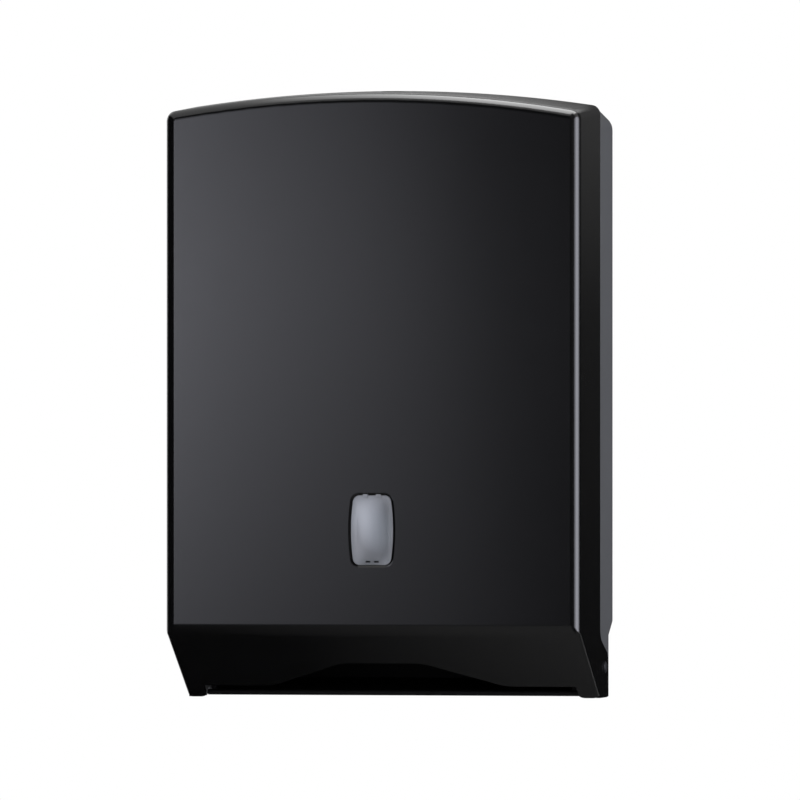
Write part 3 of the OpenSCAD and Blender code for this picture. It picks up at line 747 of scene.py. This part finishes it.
class CASE_OT_front_cover(bpy.types.Operator):
    """Model the moulded front cover with its chin, mouth, ears and lock boss"""

    bl_idname = "towel_case.front_cover"
    bl_label = "Front cover"

    def execute(self, context):
        s = sizes()
        shell = cover_shell(s)
        for side in (-1, 1):
            carve(shell, ear(s, side), "UNION")
        seat_lock(shell, s)
        carve(shell, mouth_tool(s))
        carve(shell, window_tool(s))
        axis = (0, -s.axis_back, s.feet + s.axis_height)
        pin_tool = start_round("pin_tool", axis, s.pin_hole, tall=0.4, turn=(0, math.pi / 2, 0), sides=48)
        carve(shell, pin_tool)
        clean_mesh(shell, angle=0.1)
        break_edges(shell, s.cover_break)
        foot = Vector((s.width / 2, s.cover_depth - s.depth, s.feet + s.chin_radius))
        around = 1e-4

        def at_foot(edge):
            return any((Vector((abs(p.x), p.y, p.z)) - foot).length < around for p in ends(edge))

        smooth(shell, 25, at_foot)
        place(shell, "cover", "cover_plastic", "front_cover")
        return {"FINISHED"}


def dome_pane(pane, s, front, half_wide, half_high):
    """Lets the pane's front fall from its middle to its border."""
    middle = s.feet + s.window_place
    flat_wide, flat_high, columns = half_wide - s.window_border, half_high - s.window_border, 8
    spot_size = 1e-7
    with bench(pane):
        for side in (-1, 1):
            slice_at((0, 0, middle + side * flat_high), (0, 0, 1))
        for i in range(-columns, columns + 1):
            slice_at((flat_wide * i / columns, 0, 0), (1, 0, 0))
        spots = {tuple(v.co) for v in bmesh.from_edit_mesh(pane.data).verts if near(v.co.y, front)}
        for x, _, z in spots:
            bulge = s.window_bulge - sag(2 * half_high, s.window_bulge, z - middle)
            aside = min(1.0, abs(x) / (half_wide - s.window_bulge + bulge - s.window_border))
            above = min(1.0, (z - middle) / flat_high)
            fall = s.window_dome * (1 - (1 - aside * aside) * (1 - above * above))
            pick(pane, "VERT", lambda v: near(v.co.x, x, spot_size) and near(v.co.z, z, spot_size)
                 and v.co.y < front + TINY)
            shift((0, fall, 0))


def clip_pane(pane, s, front, back, half_high):
    """Cuts the pane's two lower slots and joins its two hooked upper tabs."""
    middle = s.feet + s.window_place
    high, slot_low = middle + half_high, middle - half_high + s.slot_rise
    slot_high = slot_low + s.slot_height
    hook = front + s.hook_thickness
    for side in (-1, 1):
        left, right = (side * s.slot_place + way * s.clip_width / 2 for way in (-1, 1))
        slot = start_block("clip_slot", (left, front - CLEAR, slot_low), (right, back + CLEAR, slot_high))
        carve(pane, slot)
        left, right = (side * s.clip_place + way * s.clip_width / 2 for way in (-1, 1))
        tab = start_block("clip_tab", (left, front, high - s.tab_height), (right, back, high))
        with bench(tab):
            slice_at((0, hook, 0), (0, 1, 0))
            pick(tab, "FACE", lambda f: f.normal.z > FACING and f.calc_center_median().y < hook)
            draw_out((0, 0, s.window_gap + s.hook_reach))
        carve(pane, tab, "UNION")


class CASE_OT_level_window(bpy.types.Operator):
    """Model the frosted level window"""

    bl_idname = "towel_case.level_window"
    bl_label = "Level window"

    def execute(self, context):
        s = sizes()
        front, back = -s.depth + s.window_recess, -s.depth + s.wall
        half_wide, half_high = s.window_width / 2 - s.window_gap, s.window_height / 2 - s.window_gap
        pane = barrel_block("window_pane", s, -s.window_gap, front, back)
        dome_pane(pane, s, front, half_wide, half_high)
        clip_pane(pane, s, front, back, half_high)
        smooth(pane)
        place(pane, "cover", "window_plastic", "level_window")
        return {"FINISHED"}


def dress(node, name, body, slot, edge):
    """A merged copy of a CAD solid with broken edges and its finish."""
    piece = take_copy(frame["nodes"][node])
    name_piece(piece, name)
    piece.parent = None
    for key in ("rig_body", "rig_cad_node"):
        del piece[key]
    clean_mesh(piece, angle=0.3)
    break_edges(piece, edge)
    smooth(piece)
    place(piece, body, slot, node)


class CASE_OT_rear_body(bpy.types.Operator):
    """Dress the rear body"""

    bl_idname = "towel_case.rear_body"
    bl_label = "Rear body"

    def execute(self, context):
        dress("rear_body", "body_shell", "base", "body_plastic", edge=0.0006)
        return {"FINISHED"}


class CASE_OT_tray_and_guides(bpy.types.Operator):
    """Dress the towel tray and the towel guides"""

    bl_idname = "towel_case.tray_and_guides"
    bl_label = "Tray and guides"

    def execute(self, context):
        dress("towel_tray", "tray_moulding", "base", "tray_plastic", edge=0.0003)
        for side in ("left", "right"):
            dress(f"{side}_towel_guide", f"{side}_guide_blade", "base", "tray_plastic", edge=0.0003)
        return {"FINISHED"}


def spread(low, high, count):
    """Places at even steps from low to high."""
    return [low + (high - low) * i / max(count - 1, 1) for i in range(count)]


def pan_screw(name, head, tall, shaft, long):
    """A pan-head screw from a seat at the origin towards the wall: head, cross recess, thread and tip."""
    screw = start_round(name, (0, long / 2, 0), shaft, long, turn=(math.pi / 2, 0, 0), sides=24)
    pitch, groove_share, tip_share = shaft * 0.3, 0.84, 0.62
    grooves = [pitch * (i + 1) for i in range(int(long / pitch) - 1)]
    with bench(screw):
        pick(screw, "FACE", lambda f: f.normal.y < -FACING)
        draw_out((0, 0, 0))
        widen((0, 0, 0), head / shaft, head / shaft)
        draw_out((0, -tall, 0))
        pick(screw, "EDGE", lambda e: all(near(p.y, -tall) for p in ends(e)))
        round_edges(tall * 0.5, segments=6)
        for way in grooves:
            for offset in (-0.3, 0.0, 0.3):
                slice_at((0, way + offset * pitch, 0), (0, 1, 0))
        for way, share in [(groove, groove_share) for groove in grooves] + [(long, tip_share)]:
            pick(screw, "VERT", lambda v: near(v.co.y, way))
            widen((0, way, 0), share, share)
    floor, arm_long, arm_wide, arm_taper = -tall * 0.4, head * 0.62, head * 0.15, 0.55
    for across, up in ((arm_long, arm_wide), (arm_wide, arm_long)):
        half = Vector((across / 2, 0, up / 2))
        tool = start_block("cross", Vector((0, -tall - CLEAR, 0)) - half, Vector((0, floor, 0)) + half)
        with bench(tool):
            pick(tool, "FACE", lambda f: f.normal.y > FACING)
            widen((0, floor, 0), arm_taper, arm_taper)
        carve(screw, tool)
    return screw


def set_screws(node, body, screw, spots, turn=(0, 0, 0)):
    """Copies a screw to its places as one piece, in place of its node."""
    copies = []
    for spot in spots:
        copies.append(take_copy(screw))
        copies[-1].location, copies[-1].rotation_euler = spot, turn
    bpy.data.objects.remove(screw)
    take(copies[0])
    for copy in copies[1:]:
        copy.select_set(True)
    if copies[1:]:
        bpy.ops.object.join()
    piece = settle(node + "_finished")
    smooth(piece)
    place(piece, body, "zinc_steel", node)


class CASE_OT_screws(bpy.types.Operator):
    """Model the pan-head screws of the tray, the guides, the keeper and the cam"""

    bl_idname = "towel_case.screws"
    bl_label = "Screws"

    def execute(self, context):
        s = sizes()
        reach = s.screw_head / 2
        for node, columns, rows in (("tray_screws", 4, 1), ("guide_screws", 2, 3), ("keeper_screws", 1, 2)):
            low, high = (Vector(corner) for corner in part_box(node))
            seat = low.y + s.screw_head_height
            across = spread(low.x + reach, high.x - reach, columns)
            up = spread(low.z + reach, high.z - reach, rows)
            screw = pan_screw(node, s.screw_head, s.screw_head_height, s.screw_shaft, high.y - seat)
            set_screws(node, "base", screw, [(x, seat, z) for x in across for z in up])
        low, high = (Vector(corner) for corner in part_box("cam_screw"))
        seat = low.z + s.cam_screw_head_height
        spot = ((low.x + high.x) / 2, (low.y + high.y) / 2, seat)
        long = high.z - seat
        screw = pan_screw("cam_screw", s.cam_screw_head, s.cam_screw_head_height, s.cam_screw_shaft, long)
        set_screws("cam_screw", "lock", screw, [spot], (math.pi / 2, 0, 0))
        return {"FINISHED"}


class CASE_OT_metalwork(bpy.types.Operator):
    """Dress pins, lock and keeper"""

    bl_idname = "towel_case.metalwork"
    bl_label = "Metalwork"

    def execute(self, context):
        for node, body, slot, edge in (
            ("left_hinge_pin", "base", "pin_steel", 0.0002),
            ("right_hinge_pin", "base", "pin_steel", 0.0002),
            ("lock_keeper", "base", "zinc_steel", 0.0002),
            ("lock_housing", "cover", "lock_nickel", 0.0003),
            ("lock_washer", "cover", "zinc_steel", 0.0001),
            ("lock_nut", "cover", "lock_nickel", 0.0003),
            ("lock_core", "lock", "lock_nickel", 0.0002),
            ("lock_cam", "lock", "zinc_steel", 0.0002),
            ("cam_washer", "lock", "zinc_steel", 0.0001),
        ):
            dress(node, node + "_finished", body, slot, edge)
        return {"FINISHED"}


COOL = (0.96, 0.97, 1.08)
NEUTRAL = (1.0, 1.0, 1.0)
WHITE = (1.0, 1.0, 1.0, 1.0)
# The share of white that the surround gives as light
SKY_LIGHT = 0.25


def seen_rays(wire):
    """1 for rays that show the surround: the camera's, and those of gloss and glass."""
    eye, gloss, through = (
        wire.add("ShaderNodeLightPath", out=f"Is {kind} Ray") for kind in ("Camera", "Glossy", "Transmission")
    )
    return wire.sum("MINIMUM", eye + gloss + through, 1.0)


def aimed(spot, target):
    """The turn of a lamp, panel or camera at a spot that faces a target."""
    return (Vector(target) - Vector(spot)).to_track_quat("-Z", "Y").to_euler()


def softbox(name, spot, target, across, tall, level):
    """A rectangular lamp of an even brightness level, which reflections don't see."""
    clear_selection()
    bpy.ops.object.light_add(type="AREA", location=spot, rotation=aimed(spot, target))
    lamp = bpy.context.object
    lamp.name = name
    lamp.data.shape = "RECTANGLE"
    lamp.data.size = across
    lamp.data.size_y = tall
    lamp.data.energy = level * math.pi * across * tall
    lamp.visible_glossy = False


def panel(name, spot, target, across, tall, colour=NEUTRAL, glow=None):
    """A panel that only reflections see: a dark flag, or one whose glow follows its place."""
    clear_selection()
    bpy.ops.mesh.primitive_plane_add(size=1, location=spot, rotation=aimed(spot, target))
    bpy.context.object.scale = (across, tall, 1)
    sheet = settle(name)
    material = bpy.data.materials.new(name)
    material.use_nodes = True
    material.node_tree.nodes.clear()
    wire = Wire(material.node_tree)
    level = glow(wire, *axes(wire, wire.add("ShaderNodeTexCoord", out="Object"))) if glow else 0.0
    light = wire.add("ShaderNodeEmission", None, {"Color": (*colour, 1.0), "Strength": level})
    wire.add("ShaderNodeOutputMaterial", None, {"Surface": light})
    sheet.data.materials.append(material)
    for ray in ("camera", "diffuse", "transmission", "shadow", "volume_scatter"):
        setattr(sheet, "visible_" + ray, False)


def set_surround(scene):
    """A world that is white to look at and gives a part of that as light."""
    scene.world = bpy.data.worlds.new("surround")
    scene.world.use_nodes = True
    scene.world.node_tree.nodes.clear()
    wire = Wire(scene.world.node_tree)
    strength = seen_rays(wire) * (1.0 - SKY_LIGHT) + SKY_LIGHT
    sky = wire.add("ShaderNodeBackground", None, {"Color": WHITE, "Strength": strength})
    wire.add("ShaderNodeOutputWorld", None, {"Surface": sky})


def set_lights(s):
    """Two lamps, and the panels and flags that the cover's gloss shows."""

    def key_glow(wire, x, y, z):
        edge = graded(wire, x + (z - 0.12) * 0.14, (-0.135, -0.175), (0.14, 0.95))
        inner, outer = (graded(wire, x, (start, -0.471), (0.0, 2.0)) for start in (-0.175, -0.31))
        return (edge + inner + outer) * falling(wire, z, 0.08, 0.48)

    def below_glow(wire, x, y, z):
        sideways = graded(wire, x - (y + 0.09) * 0.189, (-0.15, 0.06), (0.01, 0.15))
        return (sideways * graded(wire, y, (0.045, 0.095), (1.0, 0.66))
                * graded(wire, y, (-0.3, 0.04), (1.9, 1.0)))

    def behind_right_glow(wire, x, y, z):
        return graded(wire, z, (-0.2, 0.2), (0.006, 0.03)) + graded(wire, z, (0.06, 0.25), (0.0, 0.06))

    def behind_glow(wire, x, y, z):
        return graded(wire, x, (-0.55, -0.3), (0.3, 0.205)) * graded(wire, x, (-0.28, -0.14), (1.0, 0.28))

    softbox("soft_left", (-1.2, -1.9, 1.3), (0, -0.1, 0), across=1.3, tall=1.3, level=8.0)
    softbox("soft_right", (1.9, -0.6, 0.35), (0, -0.06, 0), across=1.0, tall=1.3, level=6.0)
    panel("key_left", (-0.25, -1.2, 0.1), (-0.25, 0.0, 0.1), across=0.5, tall=1.0, colour=COOL, glow=key_glow)
    panel("over", (0.1, -0.08, 1.2), (0.1, -0.08, 0.0), across=0.96, tall=1.16,
          glow=lambda wire, x, y, z: graded(wire, x, (-0.42, -0.066), (1.0, 8.5)))
    panel("right_side", (1.249, -0.428, 0.0), (0.138, -0.13, 0.0), across=1.6, tall=1.2, colour=COOL,
          glow=lambda wire, x, y, z: 7.8 * falling(wire, y, -0.428, 0.9))
    panel("flag_front", (0.5, -2.4, 0.0), (0.5, 0.0, 0.0), across=4.0, tall=4.0)
    panel("flag_left", (-1.6, -1.0, 0.0), (0.0, -1.0, 0.0), across=3.2, tall=3.0)
    panel("flag_below", (-0.5, -0.8, s.feet - 0.27), (-0.5, -0.8, 0.0), across=3.0, tall=3.2, glow=below_glow)
    panel("flag_behind_right", (0.9, 1.0, 0.0), (0.1, -0.05, 0.0), across=1.8, tall=2.6,
          glow=behind_right_glow)
    panel("flag_close", (0.165, -0.31, 0.0), (0.0, -0.31, 0.0), across=0.29, tall=0.8,
          glow=lambda wire, x, y, z: graded(wire, z, (-0.3, 0.3), (0.02, 0.16)))
    panel("ceiling", (0.0, -0.035, 0.215), (0.0, -0.035, 0.0), across=0.32, tall=0.135,
          glow=lambda wire, x, y, z: graded(wire, x, (-0.16, 0.16), (0.7, 0.9)))
    panel("flag_behind", (0.0, 2.0, 0.35), (0.0, 0.0, 0.35), across=3.0, tall=1.4, glow=behind_glow)


def set_floor(s, t):
    """A pale floor that fades to white far away and is see-through from below."""
    clear_selection()
    bpy.ops.mesh.primitive_circle_add(vertices=96, radius=3.0, fill_type="NGON",
                                      location=(0, 0, s.feet - t.floor_drop))
    floor = settle("floor")
    material, wire, where, shader = new_finish("pale_floor")
    mottle = noise(wire, where, scale=3.0)
    feed(wire, shader, Base_Color=blend_colours(wire, mottle, shade(NEUTRAL, 0.86), shade(NEUTRAL, 0.90)))
    fix(shader, Roughness=0.9)
    away = wire.add("ShaderNodeVectorMath", {"operation": "LENGTH"}, {0: where}, "Value")
    fade = seen_rays(wire) * graded(wire, away, (0.55, 2.6), (0.35, 1.0))
    white = wire.add("ShaderNodeEmission", None, {"Color": WHITE, "Strength": 1.0})
    seen = wire.add("ShaderNodeMixShader", None, {0: fade, 1: Wire(wire.tree, shader.outputs[0]), 2: white})
    under = wire.add("ShaderNodeNewGeometry", out="Backfacing")
    clear = wire.add("ShaderNodeBsdfTransparent")
    surface = wire.add("ShaderNodeMixShader", None, {0: under, 1: seen, 2: clear})
    wire.tree.links.new(surface.socket, wire.tree.nodes["Material Output"].inputs["Surface"])
    floor.data.materials.append(material)


def set_camera(scene, s, t):
    """A camera at the photograph's angle and frame."""
    forward = Vector((-math.sin(t.turn), math.cos(t.turn), 0))
    right = Vector((math.cos(t.turn), math.sin(t.turn), 0))
    aim = Vector((0, -s.depth, s.feet + s.height / 2)) + right * t.aim_right + Vector((0, 0, t.aim_up))
    spot = aim - forward * t.distance
    clear_selection()
    bpy.ops.object.camera_add(location=spot, rotation=aimed(spot, aim))
    camera = bpy.context.object
    camera.name = "photo_camera"
    camera.data.lens = t.lens
    camera.data.sensor_width = 36.0
    camera.data.clip_end = 60.0
    scene.camera = camera


class CASE_OT_stage(bpy.types.Operator):
    """Set the white surround, the lamps and panels, the floor and the camera"""

    bl_idname = "towel_case.stage"
    bl_label = "Stage"

    def execute(self, context):
        scene, s, t = context.scene, sizes(), context.scene.towel_case_stage
        scene.view_settings.view_transform = "Standard"
        set_surround(scene)
        set_lights(s)
        set_floor(s, t)
        set_camera(scene, s, t)
        return {"FINISHED"}


class CASE_PT_panel(bpy.types.Panel):
    """Lists the pieces of the towel case"""

    bl_idname = "CASE_PT_panel"
    bl_label = "Towel case"
    bl_space_type = "VIEW_3D"
    bl_region_type = "UI"
    bl_category = "Towel case"

    def draw(self, context):
        for step in STEPS:
            self.layout.operator(step.bl_idname)
        for group in GROUPS:
            settings = getattr(context.scene, group)
            for key in settings.__annotations__:
                self.layout.prop(settings, key)


STEPS = (CASE_OT_stage, CASE_OT_front_cover, CASE_OT_level_window, CASE_OT_rear_body, CASE_OT_tray_and_guides,
         CASE_OT_screws, CASE_OT_metalwork)
GROUPS = {"towel_case_sizes": TowelCaseSizes, "towel_case_finishes": TowelCaseFinishes,
          "towel_case_stage": TowelCaseStage}


def register():
    """Registers the classes and adds the settings to the scene."""
    for item in (*GROUPS.values(), *STEPS, CASE_PT_panel):
        bpy.utils.register_class(item)
    for key, group in GROUPS.items():
        setattr(bpy.types.Scene, key, bpy.props.PointerProperty(type=group))


def unregister():
    """Takes away what register adds."""
    for key in GROUPS:
        delattr(bpy.types.Scene, key)
    for item in (CASE_PT_panel, *reversed(STEPS), *GROUPS.values()):
        bpy.utils.unregister_class(item)


def main():
    """Makes every piece in order."""
    register()
    for step in STEPS:
        group, name = step.bl_idname.split(".")
        getattr(getattr(bpy.ops, group), name)()
    clear_selection()


if __name__ == "__main__":
    main()
